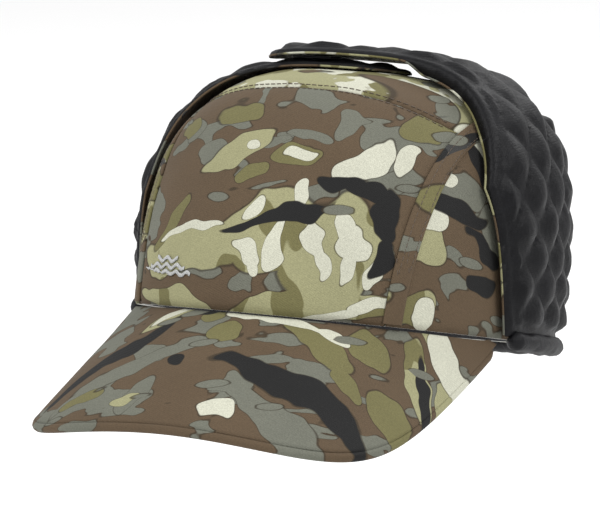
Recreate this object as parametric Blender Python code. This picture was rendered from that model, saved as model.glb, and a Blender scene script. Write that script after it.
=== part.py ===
"""Insulated camper cap with a folding ear and neck flap, as separate sewn pieces.

The cap is drafted in a block frame: the head opening lies in z = 0, the visor points towards -Y and the
wearer's left is +X. Every mesh is then pitched nose up, as the cap is worn, about the centre of the opening.
"""
import bmesh
import bpy
from math import cos, pi, radians, sin
from mathutils import Matrix, Vector

MM = 0.001
PITCH = radians(12.5)

# Crown block, outer face of the shell, in millimetres.
CROWN_HALF_WIDTH = 88.0
CROWN_HALF_LENGTH = 105.0
CROWN_HEIGHT = 114.0
CROWN_SQUARENESS = 2.2
FLAP_SQUARENESS = 2.4
SQUARER_BACKWARD = 1.0
GAP = 0.35

# Layers of the crown wall, as distances from the block's outer face.
SHELL = (-1.2, 0.0)
INSULATION = (-4.8, -1.6)
LINING = (-6.4, -5.2)
BAND = (-8.2, -6.8)
BAND_HEIGHT = 32.0

# Panel seams of the crown.
SIDE_SEAM_X = 61.0
SIDE_SEAM_LEAN = 0.06
TOP_SEAM_NORMAL = Vector((0.0, 0.53, 0.848))
TOP_SEAM_OFFSET = 60.0
STRIP_WIDTH = 5.0
STRIP_OVERLAP = 1.0
STRIP_LAYER = (0.35, 1.15)
STRIP_FOOT = 1.5
EMBLEM_LAYER = (0.35, 0.95)
EMBLEM_X = (-56.0, -24.0)
EMBLEM_Z = (13.0, 22.0)

# Folded ear and neck flap: inner block, layer thicknesses and outline.
FLAP_GAP = 3.5
LEFT_FLAP_HEIGHT = 120.3
RIGHT_FLAP_HEIGHT = 114.5
FLAP_LAYERS = {"shell": (0.0, 1.0), "insulation": (1.35, 5.2), "lining": (5.55, 7.6)}
TIP_LAYERS = {"shell": (0.0, 1.4), "lining": (1.75, 4.2)}
FLAP_KINDS = {"shell": "camo", "insulation": "fill", "lining": "quilt"}
FLAP_FRONTS = {
    1: (((0.0, -17.5, 0.0), (0.0, 1.0, 0.22)), ((0.0, -32.0, 65.0), (0.0, 1.0, -0.33))),
    -1: (((0.0, -17.5, 0.0), (0.0, 1.0, 0.36)), ((0.0, -41.0, 65.0), (0.0, 1.0, -0.5))),
}
FLAP_FOOT = 1.0
FOLD_FRONT = Vector((100.5, -30.0, -1.5))
FOLD_BACK = Vector((68.0, 90.0, -1.5))
SHOULDER = 71.0
LEFT_TIP_END = -46.0
RIGHT_TIP_END = -22.0
TIP_SIDE = 62.0
TIP_BACK_Y = 46.0
TIP_BACK_SLANT = 0.26
TIP_FOOT = 60.0
TIP_END_Y = 2.0
TIP_CHAMFERS = ((0.45, 6.0), (1.2, 11.0))
PATCH_X = (-31.0, -11.0)
PATCH_Y = (-10.0, 13.0)
HOOK_LAYER = (-0.6, -0.3)
LOOP_LAYER = (4.5, 4.8)
NECK_TOP = 86.0
NECK_FRONT_Y = 40.0
EAR_TOP = 112.0
EAR_TOP_SLOPE = 0.42

# Visor.
VISOR_WRAP = radians(79.0)
VISOR_HALF_WIDTH = 85.5
VISOR_FRONT_Y = -157.0
VISOR_TAIL_Y = -16.0
VISOR_DROP = 62.0
VISOR_ARCH = 0.2
VISOR_CORNER = 0.88
VISOR_SIDE = 0.3
VISOR_FALL = 1.4
VISOR_ROOT_Z = -2.5
VISOR_TAIL_Z = -3.4
VISOR_CAMBER = 3.0
VISOR_LAYERS = {"visor_board": (-0.9, 0.9), "visor_top_fabric": (1.25, 2.1), "visor_under_fabric": (-2.1, -1.25)}
BINDING_RADIUS = 1.9

AROUND = 36
RINGS = 8


def material(name, colour, roughness):
    made = bpy.data.materials.new(name)
    made.use_nodes = True
    shader = made.node_tree.nodes["Principled BSDF"]
    shader.inputs["Base Color"].default_value = (*colour, 1.0)
    shader.inputs["Roughness"].default_value = roughness
    shader.inputs["Metallic"].default_value = 0.0
    return made


COLOURS = {
    "camo": ((0.16, 0.13, 0.08), 0.75),
    "quilt": ((0.018, 0.018, 0.02), 0.5),
    "fill": ((0.75, 0.75, 0.72), 0.95),
    "lining": ((0.03, 0.03, 0.032), 0.8),
    "board": ((0.09, 0.09, 0.09), 0.6),
    "thread": ((0.42, 0.42, 0.4), 0.7),
    "hook": ((0.02, 0.02, 0.02), 0.9),
}


def squareness_at(angle, squareness):
    """The block is round over the brow and squarer towards the back of the head."""
    return squareness + SQUARER_BACKWARD * (1 - cos(angle))


def block_point(angle, rise, grow, height, squareness):
    """A point on the crown block: angle around, rise from 0 at the opening to 1 at the apex."""
    half_x = CROWN_HALF_WIDTH + grow
    half_y = CROWN_HALF_LENGTH + grow
    power = squareness_at(angle, squareness)
    lift = sin(rise * pi / 2) ** (2 / power) if rise > 0 else 0.0
    reach = max(1.0 - lift ** power, 0.0) ** (1 / power)
    return Vector((half_x * sin(angle) * reach, -half_y * cos(angle) * reach, height * lift))


def dome(bm, grow, height, squareness, inward):
    """One skin of a dome with an open foot; returns its foot loop of edges."""
    foot = [bm.verts.new(block_point(2 * pi * i / AROUND, 0, grow, height, squareness)) for i in range(AROUND)]
    rings = [foot]
    for step in range(1, RINGS):
        rise = step / RINGS
        rings.append([bm.verts.new(block_point(2 * pi * i / AROUND, rise, grow, height, squareness))
                      for i in range(AROUND)])
    apex = bm.verts.new((0, 0, height))
    for low, high in zip(rings, rings[1:]):
        for i in range(AROUND):
            j = (i + 1) % AROUND
            corners = [low[i], low[j], high[j], high[i]]
            bm.faces.new(corners[::-1] if inward else corners)
    for i in range(AROUND):
        corners = [rings[-1][i], rings[-1][(i + 1) % AROUND], apex]
        bm.faces.new(corners[::-1] if inward else corners)
    return foot


def dome_wall(grow_in, grow_out, height_in, height_out, squareness):
    """A closed dome wall between two nested skins, open at the foot."""
    bm = bmesh.new()
    outer = dome(bm, grow_out, height_out, squareness, False)
    inner = dome(bm, grow_in, height_in, squareness, True)
    for i in range(AROUND):
        j = (i + 1) % AROUND
        bm.faces.new([outer[j], outer[i], inner[i], inner[j]])
    return bm


def keep_side(bm, point, normal, ring=False):
    """Cut the mesh with a plane, keep the side that the normal points to and close the cut.

    A ring's cut has an outer and an inner loop, so it is closed by a band of faces between the two.
    """
    geometry = bm.verts[:] + bm.edges[:] + bm.faces[:]
    cut = bmesh.ops.bisect_plane(bm, geom=geometry, plane_co=point, plane_no=normal, dist=1e-5, clear_inner=True)
    rim = [item for item in cut["geom_cut"] if isinstance(item, bmesh.types.BMEdge) and item.is_boundary]
    if ring:
        bmesh.ops.bridge_loops(bm, edges=rim)
    elif rim:
        bmesh.ops.holes_fill(bm, edges=rim, sides=0)
    return bm


def finish(bm, name, kind, pivot=None, flat=False):
    """Pitch the mesh as worn, put its origin on the pivot and link it as one named object."""
    bmesh.ops.remove_doubles(bm, verts=bm.verts, dist=0.004)
    bmesh.ops.scale(bm, vec=(MM, MM, MM), verts=bm.verts)
    bmesh.ops.rotate(bm, cent=(0, 0, 0), matrix=Matrix.Rotation(-PITCH, 3, "X"), verts=bm.verts)
    place = worn(pivot) if pivot else Vector((0, 0, 0))
    bmesh.ops.translate(bm, vec=-place, verts=bm.verts)
    bmesh.ops.recalc_face_normals(bm, faces=bm.faces)
    mesh = bpy.data.meshes.new(name)
    bm.to_mesh(mesh)
    bm.free()
    if not flat:
        mesh.shade_smooth()
        mesh.set_sharp_from_angle(angle=radians(40))
    piece = bpy.data.objects.new(name, mesh)
    piece.location = place
    colour, roughness = COLOURS[kind]
    mesh.materials.append(material(name, colour, roughness))
    bpy.context.collection.objects.link(piece)
    return piece


def worn(point):
    """A block-frame point in millimetres, as a world point in metres."""
    return Matrix.Rotation(-PITCH, 3, "X") @ (Vector(point) * MM)


def crown_wall(layer):
    inner, outer = layer
    return dome_wall(inner, outer, CROWN_HEIGHT + inner, CROWN_HEIGHT + outer, CROWN_SQUARENESS)


def make_crown():
    half_gap = GAP / 2
    for name, end in (("front_panel", -1), ("back_panel", 1), ("top_panel", 0)):
        bm = crown_wall(SHELL)
        for side in (-1, 1):
            keep_side(bm, (side * (SIDE_SEAM_X - half_gap), 0, 0), (-side, 0, SIDE_SEAM_LEAN))
        for turn in (-1, 1):
            normal = Vector((0, -turn * TOP_SEAM_NORMAL.y, TOP_SEAM_NORMAL.z))
            if end == 0:
                keep_side(bm, normal * (TOP_SEAM_OFFSET + half_gap), normal)
            elif end == turn:
                keep_side(bm, normal * (TOP_SEAM_OFFSET - half_gap), -normal)
                keep_side(bm, (0, 0, 0), (0, end, 0))
        finish(bm, name, "camo")
    for name, side in (("side_panel_left", 1), ("side_panel_right", -1)):
        bm = crown_wall(SHELL)
        keep_side(bm, (side * (SIDE_SEAM_X + half_gap), 0, 0), (side, 0, -SIDE_SEAM_LEAN))
        finish(bm, name, "camo")
        bm = crown_wall(STRIP_LAYER)
        near = SIDE_SEAM_X - STRIP_OVERLAP
        keep_side(bm, (side * near, 0, 0), (side, 0, -SIDE_SEAM_LEAN))
        keep_side(bm, (side * (near + STRIP_WIDTH), 0, 0), (-side, 0, SIDE_SEAM_LEAN))
        keep_side(bm, (0, 0, STRIP_FOOT), (0, 0, 1))
        finish(bm, "seam_strip_" + name.split("_")[-1], "camo")
    finish(crown_wall(INSULATION), "crown_insulation", "fill")
    finish(crown_wall(LINING), "crown_lining", "lining")
    band = crown_wall(BAND)
    keep_side(band, (0, 0, BAND_HEIGHT), (0, 0, -1), ring=True)
    finish(band, "sweatband", "lining")


def flap_wall(layer, height):
    inner, outer = (FLAP_GAP + distance for distance in layer)
    return dome_wall(inner, outer, height + layer[0], height + layer[1], FLAP_SQUARENESS)


def fold_direction(side):
    line = FOLD_BACK - FOLD_FRONT
    return Vector((side * line.x, line.y, 0)).normalized()


def outward(side):
    along = fold_direction(side)
    return Vector((side * along.y, -side * along.x, 0))


def mirrored(point, side):
    return Vector((side * point.x, point.y, point.z))


def make_ear_flap(prefix, side, height, tip_end):
    along = fold_direction(side)
    out = outward(side)
    back = mirrored(FOLD_BACK, side)
    fold = mirrored(FOLD_FRONT, side)
    for layer, depth in FLAP_LAYERS.items():
        inset = 0.0 if layer != "insulation" else 2.0
        bm = flap_wall(depth, height)
        keep_side(bm, out * (SHOULDER + GAP + inset), out)
        for place, normal in FLAP_FRONTS[side]:
            keep_side(bm, Vector(place) + Vector(normal).normalized() * inset, normal)
        keep_side(bm, back - along * (0.6 + inset), -along)
        keep_side(bm, (0, 0, FLAP_FOOT + inset), (0, 0, 1))
        keep_side(bm, (0, TIP_BACK_Y, EAR_TOP - inset), (0, -EAR_TOP_SLOPE, -1))
        finish(bm, f"{prefix}_flap_{layer}", FLAP_KINDS[layer], fold)
    pivot = mirrored(Vector((72.0, 0, shoulder_height(height))), side)
    for layer, depth in TIP_LAYERS.items():
        bm = tip_wall(depth, height, side, tip_end)
        finish(bm, f"{prefix}_tip_{layer}", "camo" if layer == "shell" else "quilt", pivot)
    return pivot


def shoulder_height(height):
    """Height of the flap's outer face over the shoulder line."""
    top = FLAP_LAYERS["lining"][1]
    reach = SHOULDER / (CROWN_HALF_WIDTH + FLAP_GAP + top)
    power = squareness_at(pi / 2, FLAP_SQUARENESS)
    return (height + top) * (1 - reach ** power) ** (1 / power) + 1.0


def tip_wall(depth, height, side, tip_end):
    """The tongue that lies over the crown's top, narrowing to a rounded end."""
    out = outward(side)
    bm = flap_wall(depth, height)
    keep_side(bm, out * (SHOULDER - GAP), -out)
    for place, normal in FLAP_FRONTS[side]:
        keep_side(bm, place, normal)
    keep_side(bm, (side * TIP_SIDE, TIP_BACK_Y, 0), (side * TIP_BACK_SLANT, -1, 0))
    keep_side(bm, (0, 0, TIP_FOOT), (0, 0, 1))
    centre = Vector((side * tip_end, TIP_END_Y, 0))
    keep_side(bm, centre, (side, 0, 0))
    for turn in (-1, 1):
        for lean, reach in TIP_CHAMFERS:
            normal = Vector((side, -turn * lean, 0))
            keep_side(bm, centre + Vector((0, turn * reach, 0)), normal)
    return bm


def make_neck_flap():
    for layer, depth in FLAP_LAYERS.items():
        inset = 0.0 if layer != "insulation" else 2.0
        bm = flap_wall(depth, RIGHT_FLAP_HEIGHT)
        for side in (-1, 1):
            keep_side(bm, mirrored(FOLD_BACK, side) + fold_direction(side) * (0.6 + inset), fold_direction(side))
        keep_side(bm, (0, NECK_FRONT_Y, 0), (0, 1, 0))
        keep_side(bm, (0, 0, FLAP_FOOT + inset), (0, 0, 1))
        keep_side(bm, (0, 0, NECK_TOP - inset), (0, 0, -1))
        finish(bm, f"neck_flap_{layer}", FLAP_KINDS[layer], (0, CROWN_HALF_LENGTH + FLAP_GAP + 8.5, -1.5))


def visor_outline(turn):
    """A point of the visor's free edge: turn runs from -90 to 90 degrees across its front."""
    across = abs(sin(turn)) ** VISOR_CORNER
    forward = abs(cos(turn)) ** VISOR_SIDE
    y = VISOR_TAIL_Y + (VISOR_FRONT_Y - VISOR_TAIL_Y) * forward
    fall = 1 - (1 - forward) ** VISOR_FALL
    x = VISOR_HALF_WIDTH * across * (1 if turn >= 0 else -1)
    arch = 1 - VISOR_ARCH * (1 - across ** 2)
    return Vector((x, y, VISOR_TAIL_Z - VISOR_DROP * fall * arch))


def evenly(curve, count):
    """Points spaced evenly along a curve, which is sampled finely where it turns at its ends."""
    fine = []
    for i in range(801):
        share = i / 400 - 1
        fine.append(curve(pi / 2 * (1 - (1 - abs(share)) ** 4) * (1 if share > 0 else -1)))
    lengths = [0.0]
    for a, b in zip(fine, fine[1:]):
        lengths.append(lengths[-1] + (b - a).length)
    spaced = []
    at = 0
    for i in range(count + 1):
        goal = lengths[-1] * i / count
        while at < 799 and lengths[at + 1] < goal:
            at += 1
        share = (goal - lengths[at]) / (lengths[at + 1] - lengths[at])
        spaced.append(fine[at].lerp(fine[at + 1], share))
    return spaced


def visor_grid(columns=32, rows=6):
    """The visor's middle surface, from its root under the crown to its free edge."""
    edge = evenly(visor_outline, columns)
    grid = []
    for i, free in enumerate(edge):
        angle = VISOR_WRAP * (2 * i / columns - 1)
        root = Vector(((CROWN_HALF_WIDTH - 3) * sin(angle), -(CROWN_HALF_LENGTH - 3) * cos(angle), VISOR_ROOT_Z))
        column = []
        for j in range(rows + 1):
            share = j / rows
            bulge = VISOR_CAMBER * 4 * share * (1 - share) * cos(angle) ** 2
            column.append(root.lerp(free, share) + Vector((0, -bulge * 0.6, bulge * 0.8)))
        grid.append(column)
    return grid


def grid_normals(grid):
    normals = []
    for i, column in enumerate(grid):
        line = []
        for j in range(len(column)):
            right = grid[min(i + 1, len(grid) - 1)][j] - grid[max(i - 1, 0)][j]
            out = column[min(j + 1, len(column) - 1)] - column[max(j - 1, 0)]
            normal = out.cross(right).normalized()
            line.append(normal if normal.z > 0 else -normal)
        normals.append(line)
    return normals


def make_visor():
    grid = visor_grid()
    normals = grid_normals(grid)
    for name, (low, high) in VISOR_LAYERS.items():
        bm = bmesh.new()
        skins = [[[bm.verts.new(p + n * lift) for p, n in zip(column, line)]
                  for column, line in zip(grid, normals)] for lift in (high, low)]
        for skin in skins:
            for left, right in zip(skin, skin[1:]):
                for j in range(len(left) - 1):
                    bm.faces.new([left[j], left[j + 1], right[j + 1], right[j]])
        rims = [edge for edge in bm.edges if edge.is_boundary]
        bmesh.ops.bridge_loops(bm, edges=rims)
        finish(bm, name, "board" if name == "visor_board" else "camo")
    make_binding(grid)


def make_binding(grid):
    """The rolled cloth edge along the visor's free edge, a round tube with closed ends."""
    normals = grid_normals(grid)
    route = []
    for i in range(1, len(grid) - 1):
        along = grid[i + 1][-1] - grid[i - 1][-1]
        sideways = along.cross(normals[i][-1]).normalized()
        route.append(grid[i][-1] + sideways * (BINDING_RADIUS + 0.7))
    curve = bpy.data.curves.new("visor_edge_binding", "CURVE")
    curve.dimensions = "3D"
    curve.bevel_depth = BINDING_RADIUS * MM
    curve.bevel_resolution = 1
    curve.use_fill_caps = True
    spline = curve.splines.new("POLY")
    spline.points.add(len(route) - 1)
    for target, point in zip(spline.points, route):
        target.co = (*worn(point), 1.0)
    curve.materials.append(material("visor_edge_binding", *COLOURS["camo"]))
    bpy.context.collection.objects.link(bpy.data.objects.new("visor_edge_binding", curve))


def make_patch(height, layer):
    """A fastening patch that follows the curve of the crown's top."""
    bm = flap_wall(layer, height)
    keep_side(bm, (PATCH_X[0], 0, 0), (1, 0, 0))
    keep_side(bm, (PATCH_X[1], 0, 0), (-1, 0, 0))
    keep_side(bm, (0, PATCH_Y[0], 0), (0, 1, 0))
    keep_side(bm, (0, PATCH_Y[1], 0), (0, -1, 0))
    keep_side(bm, (0, 0, TIP_FOOT), (0, 0, 1))
    return bm


def make_emblem():
    """A plain woven patch near the lower right of the front panel."""
    bm = crown_wall(EMBLEM_LAYER)
    keep_side(bm, (EMBLEM_X[0], 0, 0), (1, 0, 0))
    keep_side(bm, (EMBLEM_X[1], 0, 0), (-1, 0, 0))
    keep_side(bm, (0, 0, EMBLEM_Z[0]), (0, 0, 1))
    keep_side(bm, (0, 0, EMBLEM_Z[1]), (0, 0, -1))
    keep_side(bm, (0, 0, 0), (0, -1, 0))
    return bm


for old in list(bpy.data.objects):
    bpy.data.objects.remove(old, do_unlink=True)
make_crown()
make_visor()
left_pivot = make_ear_flap("left", 1, LEFT_FLAP_HEIGHT, LEFT_TIP_END)
right_pivot = make_ear_flap("right", -1, RIGHT_FLAP_HEIGHT, RIGHT_TIP_END)
make_neck_flap()
finish(make_patch(LEFT_FLAP_HEIGHT, HOOK_LAYER), "left_tip_patch", "hook", left_pivot)
finish(make_patch(RIGHT_FLAP_HEIGHT, LOOP_LAYER), "right_tip_patch", "hook", right_pivot)
finish(make_emblem(), "front_emblem", "thread")
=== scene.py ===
# %% [markdown]
# # A camper cap with folding ear flaps
# The cap is a stiffened crown, a curved visor and a quilted flap that is folded up around the sides and
# back. The frame is loaded first and holds the solids. The pieces on the crown below, the visor with them,
# ride on one crown body, and the ear and neck flaps ride on no body. Lengths are in millimetres in a block
# frame, where the head opening is level, and one function at the end of each build pitches the mesh nose
# up, as the cap is worn, and turns it into metres.

# %% Load the frame
from math import atan2, cos, pi, radians, sin, sqrt
import bmesh
import bpy
from mathutils import Matrix, Vector, noise


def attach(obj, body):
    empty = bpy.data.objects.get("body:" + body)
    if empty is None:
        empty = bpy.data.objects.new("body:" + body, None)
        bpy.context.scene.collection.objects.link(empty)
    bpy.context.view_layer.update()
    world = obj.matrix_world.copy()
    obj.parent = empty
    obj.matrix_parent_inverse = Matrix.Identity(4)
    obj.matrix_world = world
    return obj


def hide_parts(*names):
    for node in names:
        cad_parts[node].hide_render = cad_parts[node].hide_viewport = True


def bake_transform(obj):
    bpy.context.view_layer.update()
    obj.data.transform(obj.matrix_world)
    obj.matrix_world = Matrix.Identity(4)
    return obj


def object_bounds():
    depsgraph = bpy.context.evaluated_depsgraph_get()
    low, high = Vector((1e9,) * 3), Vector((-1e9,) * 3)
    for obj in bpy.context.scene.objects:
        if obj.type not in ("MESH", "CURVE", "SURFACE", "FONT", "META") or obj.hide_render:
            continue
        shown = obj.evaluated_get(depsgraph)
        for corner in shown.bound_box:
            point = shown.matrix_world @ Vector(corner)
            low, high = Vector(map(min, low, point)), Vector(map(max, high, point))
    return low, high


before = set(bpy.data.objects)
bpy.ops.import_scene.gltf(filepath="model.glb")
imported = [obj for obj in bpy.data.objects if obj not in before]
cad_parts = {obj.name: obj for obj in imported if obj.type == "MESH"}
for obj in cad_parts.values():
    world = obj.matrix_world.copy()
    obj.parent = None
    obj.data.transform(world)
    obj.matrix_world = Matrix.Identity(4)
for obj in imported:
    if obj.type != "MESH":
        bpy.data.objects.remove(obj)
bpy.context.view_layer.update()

MM = 0.001
PITCH = Matrix.Rotation(-radians(12.5), 3, "X")

# %% [markdown]
# ## The block
# A hatter stretches cloth over a block. Here the block is a cube that is cut fine, blown up to a ball and
# then drawn out to the crown's length, width and height. A cube's even squares have no pole at the top,
# so the cloth shows no pinch there. A superellipse gives the firm shoulders that a plain ball would lack.

# %% A hatter's block
HALF_WIDTH, HALF_LENGTH, HEIGHT = 88.0, 105.0, 114.0
CROWN_SQUARENESS, FLAP_SQUARENESS, SQUARER_BACKWARD = 2.2, 2.4, 1.0


def cut(bm, point, normal):
    """Cut an open skin with a plane and keep the side that the normal points to."""
    everything = bm.verts[:] + bm.edges[:] + bm.faces[:]
    bmesh.ops.bisect_plane(bm, geom=everything, plane_co=point, plane_no=normal, dist=1e-4,
                           clear_inner=True)


def block_skin(grow, height, squareness, cuts):
    """One open skin over the block, made from a ball of even squares."""
    bm = bmesh.new()
    bmesh.ops.create_cube(bm, size=2)
    bmesh.ops.subdivide_edges(bm, edges=bm.edges[:], cuts=cuts, use_grid_fill=True)
    cut(bm, (0, 0, 0), (0, 0, 1))
    for vert in bm.verts:
        ball = vert.co.normalized()
        across = Vector((ball.x, ball.y)).length
        power = squareness + SQUARER_BACKWARD * (1 + ball.y / max(across, 1e-6))
        swell = (across ** power + max(ball.z, 0) ** power) ** (-1 / power)
        wide, long = (HALF_WIDTH + grow) * ball.x, (HALF_LENGTH + grow) * ball.y
        vert.co = Vector((wide, long, height * ball.z)) * swell
    return bm


def on_block(x, y, grow=0.0):
    """The point of the crown block above a place in plan."""
    direction = Vector((x / (HALF_WIDTH + grow), y / (HALF_LENGTH + grow)))
    reach = min(direction.length, 1.0)
    power = CROWN_SQUARENESS + SQUARER_BACKWARD * (1 + direction.y / max(direction.length, 1e-6))
    return Vector((x, y, (HEIGHT + grow) * (1 - reach ** power) ** (1 / power)))


# %% [markdown]
# ## Cloth with two faces
# A real panel has a thickness and a turned edge. The open skin is copied, the copy is turned over, and
# both are moved along the skin's normals by a rule of their own. A face across each rim edge then closes
# the piece. Solidify would do for a plain wall, but a quilted face needs a height that changes from place
# to place.

# %% Closing a skin into cloth
def thicken(bm, top, bottom):
    """Close a skin: top and bottom say how far each face stands off, as a function of a point."""
    bm.normal_update()
    outer, rims = bm.verts[:], [edge for edge in bm.edges if edge.is_boundary]
    copy = bmesh.ops.duplicate(bm, geom=bm.verts[:] + bm.edges[:] + bm.faces[:])
    pairs = copy["vert_map"]
    under_side = [part for part in copy["geom"] if isinstance(part, bmesh.types.BMFace)]
    bmesh.ops.reverse_faces(bm, faces=under_side)
    moves = [(vert, pairs[vert], vert.co.copy(), vert.normal.copy()) for vert in outer]
    for above, below, place, normal in moves:
        above.co = place + normal * top(place)
        below.co = place + normal * bottom(place)
    for edge in rims:
        first, second = edge.verts
        bm.faces.new((first, second, pairs[second], pairs[first]))


def finish_piece(bm, name, body, material, nodes=()):
    """Pitch the mesh as worn, turn it into metres and hand it to its body."""
    bmesh.ops.scale(bm, vec=(MM, MM, MM), verts=bm.verts)
    bmesh.ops.rotate(bm, cent=(0, 0, 0), matrix=PITCH, verts=bm.verts)
    bmesh.ops.recalc_face_normals(bm, faces=bm.faces)
    mesh = bpy.data.meshes.new(name)
    bm.to_mesh(mesh)
    bm.free()
    mesh.shade_smooth()
    mesh.materials.append(material)
    piece = bpy.data.objects.new(name, mesh)
    bpy.context.collection.objects.link(piece)
    if body:
        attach(piece, body)
    if nodes:
        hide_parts(*nodes)
    print(name, len(mesh.polygons), "faces")
    return piece


def worn(point):
    """A block point in millimetres as a place in the worn frame, in metres."""
    return PITCH @ (Vector(point) * MM)


def ease(value):
    """Smooth step from 0 to 1."""
    value = min(max(value, 0.0), 1.0)
    return value * value * (3 - 2 * value)


# %% [markdown]
# ## Camouflage twill
# The print is flat shapes in layers: brown ground, grey twigs, large sage and olive leaves, black shadows,
# then cream spots. Each shape has a thin dark outline. A noise field cut at a level gives a leaf, and a
# second cut a little lower gives its outline. Ellipses come from the distance to scattered points in a
# stretched space. Every panel shifts the pattern, because a real maker cuts panels from different places of
# the roll. On the front, the near side and the visor the large shapes are listed one by one, and the small
# ones stay scattered.

# %% Node helpers
def node(tree, kind, settings=None, args=(), **sockets):
    """Add a shader node and fill or link its sockets, by order or by name."""
    made = tree.nodes.new("ShaderNode" + kind)
    for key, value in (settings or {}).items():
        setattr(made, key, value)
    named = [(made.inputs[key.replace("_", " ")], value) for key, value in sockets.items()]
    for socket, value in list(zip(made.inputs, args)) + named:
        if isinstance(value, bpy.types.NodeSocket):
            tree.links.new(value, socket)
        else:
            socket.default_value = value
    return made


def blend_colours(tree, amount, below, above):
    """Lay one colour over another by an amount from 0 to 1."""
    mix = tree.nodes.new("ShaderNodeMix")
    mix.data_type = "RGBA"
    for index, value in ((0, amount), (6, below), (7, above)):
        if isinstance(value, bpy.types.NodeSocket):
            tree.links.new(value, mix.inputs[index])
        else:
            mix.inputs[index].default_value = value
    return mix.outputs[2]


def above_level(tree, field, level, soft):
    """1 where a field is over a level, 0 under it, with a short soft step."""
    step = node(tree, "MapRange", None, (field, level - soft, level + soft, 0.0, 1.0))
    return step.outputs[0]


def times(tree, first, second):
    return node(tree, "Math", {"operation": "MULTIPLY"}, (first, second)).outputs[0]


def shade(red, green, blue):
    """A colour from its 0 to 255 screen values, as linear light."""
    channels = [((value / 255 + 0.055) / 1.055) ** 2.4 for value in (red, green, blue)]
    return (*channels, 1.0)


BROWN, SAGE, OLIVE = shade(85, 71, 55), shade(141, 139, 106), shade(103, 99, 66)
GREY, BLACK, CREAM = shade(100, 101, 91), shade(31, 31, 31), shade(182, 182, 166)
PALE, OUTLINE, CHARCOAL = shade(160, 159, 144), shade(48, 42, 32), shade(54, 54, 53)


# %% Leaves and ellipses
def leaf(tree, vector, stretch, turn, size, level, detail=1.5, bend=0.0):
    """Noise leaves: returns a mask of the leaves and one of the leaves with their outlines."""
    mapping = node(tree, "Mapping", None, (vector, (0, 0, 0), turn, stretch))
    field = node(tree, "TexNoise", None, (), Vector=mapping.outputs[0], Scale=1 / size, Detail=detail,
                 Roughness=0.45, Distortion=bend).outputs[0]
    return above_level(tree, field, level, 0.004), above_level(tree, field, level - 0.013, 0.004)


def ellipses(tree, vector, stretch, turn, size, radius, rarity):
    """Scattered ellipses: returns a mask of them, one with their outlines and a random value for each."""
    mapping = node(tree, "Mapping", None, (vector, (0, 0, 0), turn, stretch))
    cells = node(tree, "TexVoronoi", None, (), Vector=mapping.outputs[0], Scale=1 / size, Randomness=0.8)
    wobble = node(tree, "TexNoise", None, (), Vector=mapping.outputs[0], Scale=2.2 / size,
                  Detail=1.0).outputs[0]
    distance = node(tree, "Math", {"operation": "MULTIPLY_ADD"},
                    (wobble, 0.16, cells.outputs["Distance"])).outputs[0]
    chance = node(tree, "SeparateColor", None, (cells.outputs["Color"],))
    present = above_level(tree, chance.outputs[0], rarity, 0.002)
    near = node(tree, "Math", {"operation": "SUBTRACT"}, (1.0, distance)).outputs[0]
    fill = times(tree, above_level(tree, near, 1 - radius, 0.012), present)
    ring = times(tree, above_level(tree, near, 1 - radius - 0.035, 0.012), present)
    return fill, ring, chance.outputs[1]


# %% Shapes placed one by one
ENDLESS = 1000.0  # an ellipse is stretched this far, so that its shape runs straight through the cap


def inside_spots(tree, vector, spots, facing):
    """How far a place lies inside the nearest of some ellipses: above 0 inside, below 0 outside."""
    field = None
    for across, along, half_across, half_along, tilt in spots:
        if facing == "FRONT":
            centre, turn = (across * MM, 0, along * MM), (0, -radians(tilt), 0)
            size = (half_across * MM, ENDLESS, half_along * MM)
        elif facing == "SIDE":
            centre, turn = (0, across * MM, along * MM), (radians(tilt), 0, 0)
            size = (ENDLESS, half_across * MM, half_along * MM)
        else:
            centre, turn = (across * MM, along * MM, 0), (0, 0, radians(tilt))
            size = (half_across * MM, half_along * MM, ENDLESS)
        local = node(tree, "Mapping", {"vector_type": "TEXTURE"}, (vector, centre, turn, size)).outputs[0]
        reach = node(tree, "VectorMath", {"operation": "LENGTH"}, (local,)).outputs["Value"]
        inside = node(tree, "Math", {"operation": "SUBTRACT"}, (1.0, reach)).outputs[0]
        if field is not None:
            inside = node(tree, "Math", {"operation": "MAXIMUM"}, (field, inside)).outputs[0]
        field = inside
    return field


def placed_shapes(tree, place, layers, facing, colour):
    """Lay the large shapes of a panel one over another, each with a dark outline."""
    drift = node(tree, "TexNoise", None, (), Vector=place, Scale=34.0, Detail=2.0,
                 Roughness=0.45).outputs[1]
    shifted = node(tree, "VectorMath", {"operation": "SUBTRACT"}, (drift, (0.5, 0.5, 0.5))).outputs[0]
    wavy = node(tree, "VectorMath", {"operation": "MULTIPLY_ADD"},
                (shifted, (0.024, 0.024, 0.024), place)).outputs[0]
    for fill_colour, spots in layers:
        field = inside_spots(tree, wavy, spots, facing)
        line = above_level(tree, field, -0.06, 0.02)
        colour = blend_colours(tree, times(tree, line, 0.7), colour, OUTLINE)
        if fill_colour == SAGE:
            tone = leaf(tree, place, (1.4, 1.4, 0.8), (0.2, 0.1, 0.6), 0.03, 0.57)[0]
            fill_colour = blend_colours(tree, tone, SAGE, OLIVE)
        colour = blend_colours(tree, above_level(tree, field, 0.0, 0.02), colour, fill_colour)
    return colour


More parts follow.
